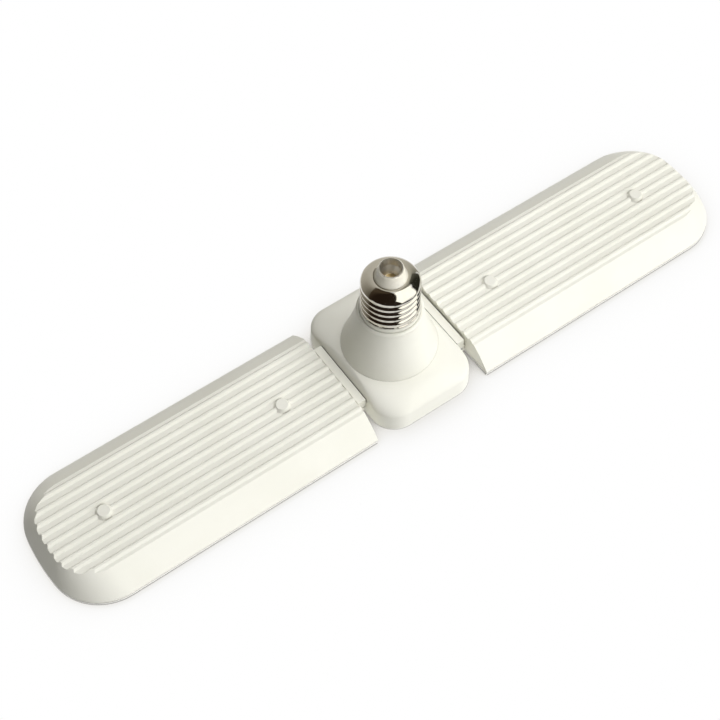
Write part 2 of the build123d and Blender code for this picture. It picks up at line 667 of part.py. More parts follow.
def hub_leads(side):
    """The two leads from the driver's terminal to the tongue's outer face."""
    end_x = TONGUE_PLATE_X - 0.1
    leads = [lead_rod(LEAD_R, y, LEAD_Z, TERMINAL_X[1], end_x) for y in (-LEAD_Y, LEAD_Y)]
    return [placed(lead, side) for lead in leads]


def bent_lead(points, radius):
    """A round lead along straight runs joined by tangent arcs."""
    path = FilletPolyline(*points, radius=radius)
    section = Plane(origin=path @ 0, z_dir=path % 0) * Circle(LEAD_R)
    return sweep(section, path=path)


def live_lead():
    """Lead from the board up the axis to the rivet's foot."""
    return bent_lead([(-2.0, 4.5, BOARD_TOP_Z), (-2.0, 4.5, 26), (0, 0, 36), (0, 0, RIVET_FOOT_Z)], 6)


def neutral_lead():
    """Lead from the board up beside the spigot's bore, over its edge to the shell's wall."""
    return bent_lead([(4.5, 13.0, BOARD_TOP_Z), (4.5, 13.0, 14), (8.4, 0, 34), (8.4, 0, 53), (SHELL_BORE_R - 0.05, 0, 53)], 2.6)


def build_hub():
    """Write every piece that stays with the cap."""
    save("hub_housing", hub_housing())
    save("hub_cover", hub_cover())
    save("cover_screws", cover_screws())
    save("screw_shell", screw_shell())
    save("cap_insulator", cap_insulator())
    save("centre_contact", centre_contact())
    save("contact_rivet", contact_rivet())
    save("driver_board", driver_board())
    save("smoothing_capacitor", smoothing_capacitor())
    save("film_capacitor", film_capacitor())
    save("inductor_core", inductor_core())
    save("inductor_winding", inductor_winding())
    save("bridge_rectifier", bridge_rectifier())
    save("driver_chip", driver_chip())
    save("fuse_resistor", fuse_resistor())
    save("output_terminals", output_terminals())
    save("live_lead", live_lead())
    save("neutral_lead", neutral_lead())
    for name, side in SIDES.items():
        save(f"{name}_hinge_pins", hinge_pins(side))
        save(f"{name}_friction_washers", friction_washers(side))
        save(f"{name}_hub_leads", hub_leads(side))


def build_panels():
    """Write both panels; the left one is the right one turned half round."""
    pieces = {
        "panel_housing": [panel_housing()],
        "led_board": [led_board()],
        "led_chips": led_chips(),
        "lens": [lens()],
        "board_screws": board_screws(),
        "panel_leads": panel_leads(),
    }
    for name, side in SIDES.items():
        for piece, solids in pieces.items():
            save(f"{name}_{piece}", [placed(solid, side) for solid in solids])


build_hub()
build_panels()
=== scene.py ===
# %% [markdown]
# A ceiling lamp with two folding light panels
#
# The real lamp is a screw cap on a white plastic hub, with a long ribbed panel hinged to
# each side. Its shapes come from the CAD model and stay where they are. Here they get their
# finishes, and the few things that CAD leaves plain, such as the rolled thread and the
# screws, are made as fine meshes in the same place.

# %% Load the CAD frame
import json
import math

import bpy
from mathutils import Matrix, Vector


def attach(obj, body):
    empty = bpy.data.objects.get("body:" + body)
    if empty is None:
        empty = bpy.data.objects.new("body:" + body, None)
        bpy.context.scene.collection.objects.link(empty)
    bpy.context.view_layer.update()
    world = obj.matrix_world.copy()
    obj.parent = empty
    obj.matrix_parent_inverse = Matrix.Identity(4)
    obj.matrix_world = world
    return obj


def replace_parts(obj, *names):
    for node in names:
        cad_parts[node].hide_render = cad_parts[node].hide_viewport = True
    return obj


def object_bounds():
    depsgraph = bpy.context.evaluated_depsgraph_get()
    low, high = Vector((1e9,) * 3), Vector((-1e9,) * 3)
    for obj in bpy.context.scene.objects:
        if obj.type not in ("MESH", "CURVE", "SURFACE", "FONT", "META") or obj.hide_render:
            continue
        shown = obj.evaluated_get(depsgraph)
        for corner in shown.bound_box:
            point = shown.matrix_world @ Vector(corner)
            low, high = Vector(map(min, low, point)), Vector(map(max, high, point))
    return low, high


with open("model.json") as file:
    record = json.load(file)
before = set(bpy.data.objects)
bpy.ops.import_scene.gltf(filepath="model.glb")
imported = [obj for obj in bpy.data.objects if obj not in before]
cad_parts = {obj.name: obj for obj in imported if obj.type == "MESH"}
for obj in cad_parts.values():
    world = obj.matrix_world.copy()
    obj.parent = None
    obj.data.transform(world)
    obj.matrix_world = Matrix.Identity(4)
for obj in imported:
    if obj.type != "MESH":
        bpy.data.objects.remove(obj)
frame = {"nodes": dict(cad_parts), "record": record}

MM = 0.001
nodes = frame["nodes"]
cad_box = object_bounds()
print("CAD box, mm:", [[round(c / MM, 2) for c in corner] for corner in cad_box])

# %% [markdown]
# Colours are written as they look on a screen, in sRGB hex, because that is how one reads
# them off a swatch. Blender's shaders count in linear light, so one function turns the hex
# code into linear numbers.

# %% Colours
def srgb(code):
    """Linear red, green, blue and alpha of a hex colour."""
    parts = [int(code[n:n + 2], 16) / 255 for n in (1, 3, 5)]
    return [p / 12.92 if p <= 0.04045 else ((p + 0.055) / 1.055) ** 2.4 for p in parts] + [1.0]


print("mid grey, linear:", round(srgb("#808080")[0], 3))

# %% [markdown]
# A material is a small tree of nodes. One function adds a node, sets its values and links
# its inputs, so each recipe below reads as a list. Patterns are placed by Object
# coordinates, which are metres on the piece itself: a scale of 1000 gives one cell per
# millimetre, and the pattern travels with a panel when it folds.

# %% One function for nodes, one to start a material
def add(tree, kind, values=None, links=None, stops=None, **properties):
    """Add a node: values and links go to its sockets, stops to its ramp, properties to the node itself."""
    made = tree.nodes.new(kind)
    for name, value in properties.items():
        setattr(made, name, value)
    for name, value in (values or {}).items():
        made.inputs[name].default_value = value
    for name, source in (links or {}).items():
        tree.links.new(source, made.inputs[name])
    for n, (position, code) in enumerate(stops or []):
        shades = made.color_ramp.elements
        stop = shades[n] if n < len(shades) else shades.new(position)
        stop.position = position
        stop.color = srgb(code)
    return made


def start(name, **skin_values):
    """A new material: itself, its tree, its principled shader and the place on the piece."""
    made = bpy.data.materials.new(name)
    made.use_nodes = True
    tree = made.node_tree
    skin = tree.nodes["Principled BSDF"]
    for socket, value in skin_values.items():
        skin.inputs[socket.replace("_", " ")].default_value = value
    place = add(tree, "ShaderNodeTexCoord").outputs["Object"]
    return made, tree, skin, place


def per_mm(size_mm):
    """Texture scale whose cell is this many millimetres across."""
    return 1 / (size_mm * MM)


print("one cell per 0.5 mm is a scale of", per_mm(0.5))

# %% [markdown]
# Most finishes here share a build: a colour that drifts between two close shades, a
# roughness that drifts a little too, and a fine grain that only the bump sees. Real
# moulded and coated surfaces do this, and a single flat value looks like a drawing. A
# painted picture could do it as well, but noise needs no unwrapping and never repeats.
#
# In the photograph the tight corners of the white mouldings are darker than the light alone makes them here,
# so shade is painted into them. Ambient occlusion measures how closed in a place is, and the colour is
# darkened within about a millimetre as painted shade. The eye then reads each rib's foot and each step as a
# crisp line.

# %% Painted shade in the crevices
# Painted shade in tight corners: how far it reaches, and the ramp from closed in to open.
CREVICE_SHADE_REACH_MM = 1.1
CREVICE_SHADE_STOPS = ((0.25, "#8d8a80"), (0.8, "#ffffff"))


def painted_crevice_shade(tree, colour):
    """The colour with painted shade, darker where the piece itself closes a place in."""
    # Painted shade: ambient occlusion darkens the colour in tight corners.
    nook = add(tree, "ShaderNodeAmbientOcclusion", {"Distance": CREVICE_SHADE_REACH_MM * MM},
               samples=6, only_local=True)
    crevice_shade = add(tree, "ShaderNodeValToRGB", links={"Fac": nook.outputs["AO"]}, stops=CREVICE_SHADE_STOPS)
    mixed = add(tree, "ShaderNodeMix", {"Factor": 1.0}, {"A": colour, "B": crevice_shade.outputs["Color"]},
                data_type="RGBA", blend_type="MULTIPLY")
    return mixed.outputs["Result"]


print("dust reaches", CREVICE_SHADE_REACH_MM, "mm")

# %% The common recipe
def coated(name, shades, drift_mm, rough, grain_mm, grain_depth_mm, paint_crevice_shade=False, **skin_values):
    """Material with drifting tone and roughness, and a fine grain; on request, painted shade in its crevices.
    """
    made, tree, skin, place = start(name, **skin_values)
    drift = add(tree, "ShaderNodeTexNoise", {"Scale": per_mm(drift_mm), "Detail": 4.0},
                {"Vector": place}).outputs["Fac"]
    colour = add(tree, "ShaderNodeValToRGB", links={"Fac": drift},
                 stops=((0.35, shades[0]), (0.65, shades[1]))).outputs["Color"]
    tree.links.new(painted_crevice_shade(tree, colour) if paint_crevice_shade else colour, skin.inputs["Base Color"])
    sheen = add(tree, "ShaderNodeMapRange", {"To Min": rough[0], "To Max": rough[1]}, {"Value": drift})
    tree.links.new(sheen.outputs["Result"], skin.inputs["Roughness"])
    grain = add(tree, "ShaderNodeTexNoise", {"Scale": per_mm(grain_mm), "Detail": 2.0}, {"Vector": place})
    bump = add(tree, "ShaderNodeBump", {"Strength": 1.0, "Distance": grain_depth_mm * MM},
               {"Height": grain.outputs["Fac"]})
    tree.links.new(bump.outputs["Normal"], skin.inputs["Normal"])
    return made


finishes = {}
print("recipe ready")

# %% [markdown]
# Hub, cover and panels are white polycarbonate, moulded in a spark-eroded mould. The eye gets a warm white
# with a satin sheen and a grain like very fine sandpaper; the darker crevices are painted shade. The real
# grain is about 0.1 mm, too fine for this picture, so it is drawn at 0.5 mm. In the same way, every grain
# below is drawn only as coarse as it needs to show.

# %% White mouldings
# The white mouldings get painted shade in their crevices.
finishes["white_housing"] = coated(
    "polycarbonate_white_spark_eroded", ("#eeede3", "#f2f1e8"), 28, (0.36, 0.44), 0.5, 0.006,
    paint_crevice_shade=True, IOR=1.585)
# Uncoloured nylon, moulded: creamy and faintly waxy, as friction washers are.
finishes["nylon_washers"] = coated(
    "nylon_natural_moulded", ("#e0dccb", "#e8e4d6"), 2, (0.35, 0.45), 0.3, 0.003, IOR=1.53)
# Nylon with glass fibre, moulded: a flat, slightly chalky white.
finishes["terminal_nylon"] = coated(
    "nylon_white_glass_filled", ("#dfded6", "#e9e8e2"), 3, (0.45, 0.6), 0.2, 0.01, IOR=1.53)
print("white mouldings:", len(finishes))

# %% [markdown]
# The lens is opal polycarbonate: clear plastic with a milky filler that scatters the light
# of the chips. Unlit it is a purer white than the mouldings, with a soft, even gloss. Light
# that wanders under the surface could be traced, but the filler is so dense that it hardly
# enters, and a plain surface colour gives the eye the same.

# %% Opal lens
finishes["lens_diffuser"] = coated(
    "polycarbonate_opal_diffuser", ("#f2f1ec", "#f6f5f1"), 40, (0.30, 0.36), 0.4, 0.003, IOR=1.585)
print("opal lens:", finishes["lens_diffuser"].name)

# %% [markdown]
# The cap's insulator is a cream urea resin, pressed hot in a polished mould. The eye gets
# something harder and shinier than the hub, and a little yellower.

# %% Cap insulator
finishes["cap_insulator"] = coated(
    "urea_resin_cream_pressed", ("#ebe6d6", "#f0ece0"), 6, (0.22, 0.32), 0.6, 0.004, IOR=1.57)
print("insulator:", finishes["cap_insulator"].name)

# %% [markdown]
# The cap is bright nickel on rolled brass sheet. The eye gets a warm mirror, with faint lines
# round the axis from rolling the thread and slight clouding from handling. Metallic is 1. The
# colour started from nickel's own reflectance and was then cooled to match the photograph.
# The lines are a noise that is stretched across the axis and stays fine along it, which needs
# no seam, as a picture wrapped round would.

# %% Metals with fine lines
CLOUD_MM = 7
LINE_STRETCH = (0.04, 0.04, 1.0)


def lined_metal(name, shades, rough, line_mm, line_depth_mm):
    """Metal with soft clouds and fine lines round Z."""
    made, tree, skin, place = start(name, Metallic=1.0)
    cloud = add(tree, "ShaderNodeTexNoise", {"Scale": per_mm(CLOUD_MM), "Detail": 5.0},
                {"Vector": place}).outputs["Fac"]
    colour = add(tree, "ShaderNodeValToRGB", links={"Fac": cloud}, stops=((0.3, shades[0]), (0.7, shades[1])))
    tree.links.new(colour.outputs["Color"], skin.inputs["Base Color"])
    sheen = add(tree, "ShaderNodeMapRange", {"To Min": rough[0], "To Max": rough[1]}, {"Value": cloud})
    tree.links.new(sheen.outputs["Result"], skin.inputs["Roughness"])
    stretched = add(tree, "ShaderNodeMapping", {"Scale": LINE_STRETCH}, {"Vector": place})
    lines = add(tree, "ShaderNodeTexNoise", {"Scale": per_mm(line_mm), "Detail": 2.0},
                {"Vector": stretched.outputs["Vector"]})
    bump = add(tree, "ShaderNodeBump", {"Strength": 1.0, "Distance": line_depth_mm * MM},
               {"Height": lines.outputs["Fac"]})
    tree.links.new(bump.outputs["Normal"], skin.inputs["Normal"])
    return made


finishes["nickel_shell"] = lined_metal(
    "nickel_bright_on_rolled_brass", ("#d1cdc4", "#dad6cd"), (0.05, 0.12), 0.25, 0.0015)
# The contact is drawn into a cup, which leaves its nickel silky instead of bright.
finishes["nickel_contact"] = lined_metal(
    "nickel_drawn_contact", ("#dddbd6", "#e5e3df"), (0.3, 0.42), 0.3, 0.002)
# Ground steel: cooler and a little duller than nickel, with finer lines. The pins lie along Y,
# so on them these lines run lengthwise and not round, too small to see here.
finishes["steel_pins"] = lined_metal(
    "steel_ground_pin", ("#b4b6b8", "#c2c4c6"), (0.18, 0.28), 0.1, 0.001)
print("metals with lines:", list(finishes)[-3:])

# %% [markdown]
# The rivet and the screws are too small for lines to show, so they take the common recipe
# with Metallic at 1.

# %% Brass and zinc
# Bare brass, headed and slightly tarnished: a soft pale gold at the bottom of the cup.
finishes["brass_rivet"] = coated(
    "brass_headed_rivet", ("#e2c994", "#eed9ae"), 1.5, (0.4, 0.55), 0.2, 0.003, Metallic=1.0)
# Steel with a thin zinc plating: bluish and duller than the nickel.
finishes["steel_screws"] = coated(
    "steel_zinc_plated", ("#a9adb0", "#bcc0c2"), 1.2, (0.28, 0.4), 0.15, 0.003, Metallic=1.0)
print("small metals:", list(finishes)[-2:])

# %% [markdown]
# The next finishes are inside the lamp, and show only when it is opened. They still start
# from the real ones, so that the opened lamp looks like one.

# %% Boards and chips
# Aluminium under white solder mask: an even, slightly glossy white.
finishes["board_aluminium"] = coated(
    "aluminium_board_white_mask", ("#e4e5e3", "#eceded"), 12, (0.35, 0.45), 0.4, 0.002, IOR=1.5)
# Glass fibre under green solder mask: deep green and glossy, a little uneven over the weave.
finishes["circuit_board"] = coated(
    "glass_fibre_green_mask", ("#1f5a34", "#2a6b40"), 5, (0.25, 0.38), 0.5, 0.01, IOR=1.55)
# Phosphor in silicone, dispensed as a drop: a full egg yellow with a wet sheen.
finishes["led_phosphor"] = coated(
    "phosphor_silicone_yellow", ("#e3b83c", "#efcb58"), 0.8, (0.3, 0.4), 0.1, 0.004, IOR=1.41)
print("boards and chips:", list(finishes)[-3:])

# %% Driver parts
# Shrink sleeve, dark blue: a tight, shiny skin.
finishes["capacitor_sleeve"] = coated(
    "shrink_sleeve_dark_blue", ("#141a2c", "#1c2438"), 4, (0.25, 0.35), 0.5, 0.004, IOR=1.54)
# Epoxy cast as a box, ochre: a smooth, slightly uneven gloss.
finishes["film_capacitor"] = coated(
    "epoxy_ochre_box", ("#a85d22", "#b8692a"), 3, (0.3, 0.42), 0.3, 0.006, IOR=1.55)
# Sintered ferrite: dark grey, dull and gritty.
finishes["ferrite"] = coated(
    "ferrite_sintered", ("#232425", "#303133"), 1.2, (0.55, 0.7), 0.15, 0.02, IOR=1.8)
# Moulded epoxy, black: flat, with a faint satin.
finishes["black_epoxy"] = coated(
    "epoxy_black_moulded", ("#17171a", "#202024"), 1.5, (0.45, 0.58), 0.12, 0.006, IOR=1.55)
# Flameproof coating, brushed on: a dull, greyish green.
finishes["resistor_body"] = coated(
    "flameproof_green_coating", ("#6f8f80", "#7f9d8d"), 1.5, (0.5, 0.62), 0.2, 0.01, IOR=1.5)
print("driver parts:", list(finishes)[-5:])

# %% [markdown]
# The leads are wires in extruded silicone rubber. It gives the eye a soft, slightly dull
# colour. Only the shade differs from lead to lead, so a loop makes the three.

# %% Leads
LEAD_SHADES = {"red": ("#a3241d", "#b42e26"), "black": ("#1a1a1b", "#252527"),
               "white": ("#dddcd6", "#e8e7e2")}
for colour_name, lead_shades in LEAD_SHADES.items():
    finishes["lead_" + colour_name] = coated(
        "silicone_lead_" + colour_name, lead_shades, 3, (0.4, 0.5), 0.3, 0.004, IOR=1.43)
print("leads:", list(LEAD_SHADES))

# %% [markdown]
# The inductor's winding is enamelled copper wire, laid turn by turn. Each turn could be a torus, but it is
# shut inside the hub, and a wave along Z with the wire's pitch is enough: its bump raises the crests, and its
# colour ramp paints the crests lighter and the gaps dark brown, as painted light and shade.

# %% Copper winding
WIRE_MM = 0.35
BANDS_PER_CELL = 3.2  # a wave texture lays about this many bands in one cell


def copper_winding():
    """Enamelled wire laid side by side along Z."""
    made, tree, skin, place = start("copper_enamelled_winding", Metallic=1.0, Roughness=0.3)
    wave = add(tree, "ShaderNodeTexWave",
               {"Scale": per_mm(WIRE_MM) / BANDS_PER_CELL, "Distortion": 0.4, "Detail": 1.0},
               {"Vector": place}, bands_direction="Z").outputs["Fac"]
    # Painted light and shade: lighter copper on the crests, dark brown in the gaps between turns.
    colour = add(tree, "ShaderNodeValToRGB", links={"Fac": wave}, stops=((0.0, "#6d3216"), (1.0, "#c9763f")))
    tree.links.new(colour.outputs["Color"], skin.inputs["Base Color"])
    bump = add(tree, "ShaderNodeBump", {"Strength": 1.0, "Distance": WIRE_MM / 4 * MM}, {"Height": wave})
    tree.links.new(bump.outputs["Normal"], skin.inputs["Normal"])
    return made


finishes["copper_wire"] = copper_winding()
print("finishes:", len(finishes))

# %% [markdown]
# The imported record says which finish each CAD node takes, so the nodes are dressed from it.

# %% Dress the CAD nodes
slot_of = {part["node"]: part["material_slot"] for part in frame["record"]["subparts"]}
for name, thing in nodes.items():
    for material_slot in thing.material_slots:
        material_slot.material = finishes[slot_of[name]]
print("dressed", len(slot_of), "nodes")

# %% [markdown]
# Turned and threaded pieces are all made the same way: rows of points round the axis, each
# row a little further along, sewn into a skin. A row's radius may change round the axis,
# which is what makes a helix, so one helper serves the shell, the insulator and the screws.
# A Screw modifier would be quicker for a plain thread, but it can't fade one out.

# %% Skin of rows
def sewn(name, skins, finish, body, ring=False):
    """One mesh of closed skins made of rows: a ring joins last row to first, the rest get two ends."""
    points, faces = [], []
    for rows in skins:
        base, count = len(points), len(rows[0])
        points += [[c * MM for c in p] for row in rows for p in row]
        for low in range(len(rows) if ring else len(rows) - 1):
            here, there = base + low * count, base + (low + 1) % len(rows) * count
            for n in range(count):
                after = (n + 1) % count
                faces.append((here + n, here + after, there + after, there + n))
        if not ring:
            faces.append(tuple(base + n for n in range(count))[::-1])
            faces.append(tuple(base + (len(rows) - 1) * count + n for n in range(count)))
    mesh = bpy.data.meshes.new(name)
    mesh.from_pydata(points, [], faces)
    mesh.validate()
    mesh.materials.append(finishes[finish])
    for face in mesh.polygons:
        face.use_smooth = len(face.vertices) == 4
    thing = bpy.data.objects.new(name, mesh)
    bpy.context.scene.collection.objects.link(thing)
    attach(thing, body)
    return thing


def round_the_axis(count):
    """Equal steps of angle once round the axis."""
    return [2 * math.pi * n / count for n in range(count)]


print("a row of four steps:", [round(a, 2) for a in round_the_axis(4)])

# %% [markdown]
# The screw shell is thin sheet rolled to the E27 thread: 26.3 mm over the crests, about
# 24.3 mm at the roots, 3.63 mm from turn to turn, right-handed. Crest and root are equal
# round arcs, so a cosine is a good likeness. The thread fades into the domed top and into
# the plain skirt. A groove is rolled into the skirt, and its rim is punched inwards all
# round to grip the plastic. Sizes are in millimetres.

# %% Sizes of the screw shell
CREST_R, ROOT_R, PITCH, SHEET = 13.15, 12.15, 3.629, 0.35
CREST_ANGLE, CREST_Z = math.radians(232.9), 47.74  # one place on the crest's line
THREAD_STARTS, THREAD_ENDS = (43.2, 45.0), (57.2, 59.2)  # heights where it fades in and out
RIM_Z, SHOULDER_Z, HOLE_R = 41.4, 58.6, 7.3
DOME_MIDDLE, DOME_TOP = (11.6, 60.9), (8.3, 62.6)  # radius and height of two places on its arc
CRIMPS, CRIMP_Z, CRIMP_R, CRIMP_FLAT_R, CRIMP_DEPTH = 12, 41.9, 0.8, 0.16, 0.55
CRIMP_ANGLE = math.radians(244.9)  # the middle of one crimp
GROOVE_Z, GROOVE_HALF, GROOVE_DEPTH = 42.4, 0.55, 0.42
EDGE_DEPTH, EDGE_HEIGHT = 0.12, 0.25  # how the sheet's cut edge is rounded
SHELL_AROUND, SHELL_UP, DOME_ROWS = 192, 112, 14  # points in a row, and rows
print("thread over the crests:", 2 * CREST_R, "mm")

# %% Depth of thread, crimps and groove
def smooth(low, high, value):
    """0 below low, 1 above high, and an easy curve between."""
    t = min(1, max(0, (value - low) / (high - low)))
    return t * t * (3 - 2 * t)


def thread_depth(angle, z):
    """How far the wall lies inside the crest at this angle and height."""
    turn = (z - CREST_Z) / PITCH - (angle - CREST_ANGLE) / (2 * math.pi)
    there = smooth(*THREAD_STARTS, z) * (1 - smooth(*THREAD_ENDS, z))
    return (CREST_R - ROOT_R) * (1 - math.cos(2 * math.pi * turn)) / 2 * there


def crimp_depth(angle, z):
    """Small round dents along the rim."""
    step = 2 * math.pi / CRIMPS
    off = (angle - CRIMP_ANGLE + step / 2) % step - step / 2
    distance = math.hypot(off * CREST_R, z - CRIMP_Z)
    return CRIMP_DEPTH * (1 - smooth(CRIMP_FLAT_R, CRIMP_R, distance))


def groove_depth(z):
    """Shallow groove rolled in above the rim, which leaves the rim as a bead."""
    return GROOVE_DEPTH * (1 - smooth(0, GROOVE_HALF, abs(z - GROOVE_Z)))


print("deepest thread:", round(thread_depth(CREST_ANGLE, CREST_Z + PITCH / 2), 2), "mm")

# %% The domed top
def dome_points(count):
    """Half section of the dome from the shoulder to the hole: places on one arc, as radius and height."""
    first, middle, last = (Vector(place) for place in ((CREST_R, SHOULDER_Z), DOME_MIDDLE, DOME_TOP))
    a, b = middle - first, last - first
    cross = 2 * (a.x * b.y - a.y * b.x)
    centre = first + Vector((b.y * a.length_squared - a.y * b.length_squared,
                             a.x * b.length_squared - b.x * a.length_squared)) / cross
    radius = (first - centre).length
    low = math.atan2(first.y - centre.y, first.x - centre.x)
    high = math.acos((HOLE_R - centre.x) / radius)
    spokes = [low + (high - low) * n / count for n in range(1, count + 1)]
    return [(centre.x + radius * math.cos(t), centre.y + radius * math.sin(t)) for t in spokes]


print("edge of the hole, mm:", [round(c, 2) for c in dome_points(DOME_ROWS)[-1]])

# %% Build the screw shell
def shell_rows():
    """Rows of the shell: up the outside, over the hole's edge and down the inside."""
    rise = [RIM_Z + (SHOULDER_Z - RIM_Z) * n / SHELL_UP for n in range(SHELL_UP + 1)]
    outside = [(CREST_R, z) for z in rise] + dome_points(DOME_ROWS)
    section = [(r, z, 0) for r, z in outside]
    for r, z in outside[::-1]:
        under = SHEET * smooth(SHOULDER_Z - 1, SHOULDER_Z, z)
        inwards = SHEET * (1 - smooth(DOME_MIDDLE[0], HOLE_R, r))
        section.append((r, z - under, inwards))
    rows = []
    for r, z, inwards in section:
        edge = EDGE_DEPTH * (1 - smooth(RIM_Z, RIM_Z + EDGE_HEIGHT, z)) * (1 if inwards == 0 else -1)
        row = []
        for angle in round_the_axis(SHELL_AROUND):
            pressed = thread_depth(angle, z) + max(crimp_depth(angle, z), groove_depth(z))
            here = r - inwards - pressed - edge
            row.append((here * math.cos(angle), here * math.sin(angle), z))
        rows.append(row)
    return rows


shell = sewn("rolled_screw_shell", [shell_rows()], "nickel_shell", "hub", ring=True)
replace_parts(shell, "screw_shell")
print("screw shell:", len(shell.data.vertices), "points")

# %% [markdown]
# The insulator is pressed into the shell's top, fills the dome from inside and stands out of
# its hole as a short cone with a rounded rim, which holds the contact cup. It is round all
# over, so its half section is written once as radius and height, and turned.

# %% Pressed insulator
RIVET_R, FOOT_R, FOOT_Z, FOOT_TOP_Z = 1.3, 11.7, 56.2, 57.6
UNDER_SHELL = SHEET + 0.1  # sheet and a hair of air
CONE = [(7.26, 62.6), (7.26, 63.0), (6.9, 63.7), (5.95, 66.6), (5.75, 67.5)]  # from the hole up
BRIM_MIDDLE, BRIM_ROUND, BRIM_TURNS = (5.35, 67.65), 0.35, (0.5, 1.0, 1.5)  # turns in radians
SOCKET = [(5.26, 68.0), (4.72, 64.6), (3.12, 60.62), (RIVET_R, 60.62)]  # from the brim down
INSULATOR_AROUND, INSULATOR_DOME_ROWS = 96, 10


def insulator_rows():
    """Rows of the insulator's closed section, from the foot up the outside and down the socket."""
    section = [(RIVET_R, FOOT_Z), (FOOT_R, FOOT_Z), (FOOT_R, FOOT_TOP_Z)]
    section += [(r - UNDER_SHELL, z - UNDER_SHELL) for r, z in dome_points(INSULATOR_DOME_ROWS)[2:]]
    section += CONE
    section += [(BRIM_MIDDLE[0] + BRIM_ROUND * math.cos(t), BRIM_MIDDLE[1] + BRIM_ROUND * math.sin(t))
                for t in BRIM_TURNS]
    section += SOCKET
    around = round_the_axis(INSULATOR_AROUND)
    return [[(r * math.cos(a), r * math.sin(a), z) for a in around] for r, z in section]


insulator = sewn("pressed_cap_insulator", [insulator_rows()], "cap_insulator", "hub", ring=True)
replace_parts(insulator, "cap_insulator")
print("insulator:", len(insulator.data.vertices), "points")

# %% [markdown]
# The cover and the boards are held by small pan-head tapping screws: a rounded head 5 mm
# across with a cross recess, and a steep thread. Cutting the recess with a boolean would
# leave ragged faces, so it is a row whose radius follows the cross's outline, pulled into
# the head. The thread is a helix like the cap's. All heads look down.

# %% Sizes of the screws
HEAD_R, HEAD_HEIGHT, HEAD_ROUND, HEAD_EDGE = 2.5, 1.2, 0.5, 0.05
SHANK_R, POINT_LENGTH, POINT_TAPER = 1.1, 1.6, 0.8
SCREW_PITCH, SCREW_THREAD, THREAD_RUN_IN = 0.9, 0.28, 0.4
CROSS_LENGTH, CROSS_HALF_WIDTH = 1.35, 0.36
RECESS = ((0.75, 0.45), (0.45, 0.8), (0.06, 0.97), (0.0, 1.03))  # depth, and share of the outline
SCREW_AROUND, HEAD_ROWS, ROWS_PER_MM = 72, 8, 12
print("screw head:", 2 * HEAD_R, "mm across")

# %% Rows of one screw
def cross_radius(angle, share):
    """Outline of the cross recess, smaller towards its floor."""
    off = abs((angle + math.pi / 4) % (math.pi / 2) - math.pi / 4)
    side = CROSS_HALF_WIDTH * share / max(math.sin(off), 0.01)
    return min(CROSS_LENGTH * share / math.cos(off), side)


def screw_rows(x, y, head_z, top_z):
    """Rows of one screw from its recess floor, over the head and up the thread to its point."""
    around = round_the_axis(SCREW_AROUND)
    neck_z = head_z + HEAD_HEIGHT
    sections = [(head_z + depth, [cross_radius(a, share) for a in around]) for depth, share in RECESS]
    for n in range(HEAD_ROWS + 1):
        turn = math.pi / 2 * n / HEAD_ROWS
        edge_r = HEAD_R - HEAD_ROUND * (1 - math.sin(turn))
        sections.append((head_z + HEAD_ROUND * (1 - math.cos(turn)), [edge_r] * SCREW_AROUND))
    sections.append((neck_z - HEAD_EDGE, [HEAD_R] * SCREW_AROUND))
    sections.append((neck_z, [HEAD_R - HEAD_EDGE] * SCREW_AROUND))
    steps = int((top_z - neck_z) * ROWS_PER_MM)
    for n in range(steps + 1):
        z = neck_z + (top_z - neck_z) * n / steps
        taper = 1 - POINT_TAPER * smooth(top_z - POINT_LENGTH, top_z, z)
        deep = SCREW_THREAD * smooth(neck_z, neck_z + THREAD_RUN_IN, z)
        turns = [2 * math.pi * z / SCREW_PITCH - a for a in around]
        sections.append((z, [(SHANK_R - deep * (1 - math.cos(turn)) / 2) * taper for turn in turns]))
    return [[(x + r * math.cos(a), y + r * math.sin(a), z) for a, r in zip(around, radii)]
            for z, radii in sections]


print("cross recess:", 2 * CROSS_LENGTH, "mm from tip to tip")

# %% Put the screws in
COVER_SCREW_X, COVER_SCREW_Y, COVER_SCREW_Z = 16.5, 24.5, (0.3, 8.6)
BOARD_SCREW_X, BOARD_SCREW_Z = (57.8, 147.0), (3.8, 11.0)


def screws(name, node, body, places, heights):
    """All screws of one CAD node, as one object in its place."""
    skins = [screw_rows(x, y, *heights) for x, y in places]
    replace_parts(sewn(name, skins, "steel_screws", body), node)


cover_places = [(x, y) for x in (-COVER_SCREW_X, COVER_SCREW_X) for y in (-COVER_SCREW_Y, COVER_SCREW_Y)]
screws("cover_cross_screws", "cover_screws", "hub", cover_places, COVER_SCREW_Z)
screws("right_board_cross_screws", "right_board_screws", "right_panel",
       [(x, 0) for x in BOARD_SCREW_X], BOARD_SCREW_Z)
screws("left_board_cross_screws", "left_board_screws", "left_panel",
       [(-x, 0) for x in BOARD_SCREW_X], BOARD_SCREW_Z)
print("screws:", len(cover_places) + 2 * len(BOARD_SCREW_X))

# %% [markdown]
# The photograph shows the lamp on pure white, as if on paper in bright light. A lit white
# floor would have to be overexposed for that, and would wash out the lamp. So the paper is a
# clear sheet that only the camera sees darkened, where ambient occlusion finds the lamp close
# by, over the white surround. A wide soft shadow leans to the left, away from the light, and
# a narrow one draws the line of contact. Seen from below the sheet is clear, so a panel that
# folds down past it stays in sight.

# %% Floor
FLOOR_HALF, FLOOR_GAP = 3.0, 0.1 * MM
SHADOW_REACH, CONTACT_REACH = 24 * MM, 0.9 * MM
SHADOW_LOOKS = (0.9, 0.0, 0.44)  # the wide shadow looks this way for things that hide the light
SHADOW_SHADES = ((0.15, "#9b9992"), (0.45, "#e6e4df"), (0.95, "#ffffff"))
CONTACT_SHADES = ((0.3, "#5f5c55"), (0.7, "#ffffff"))


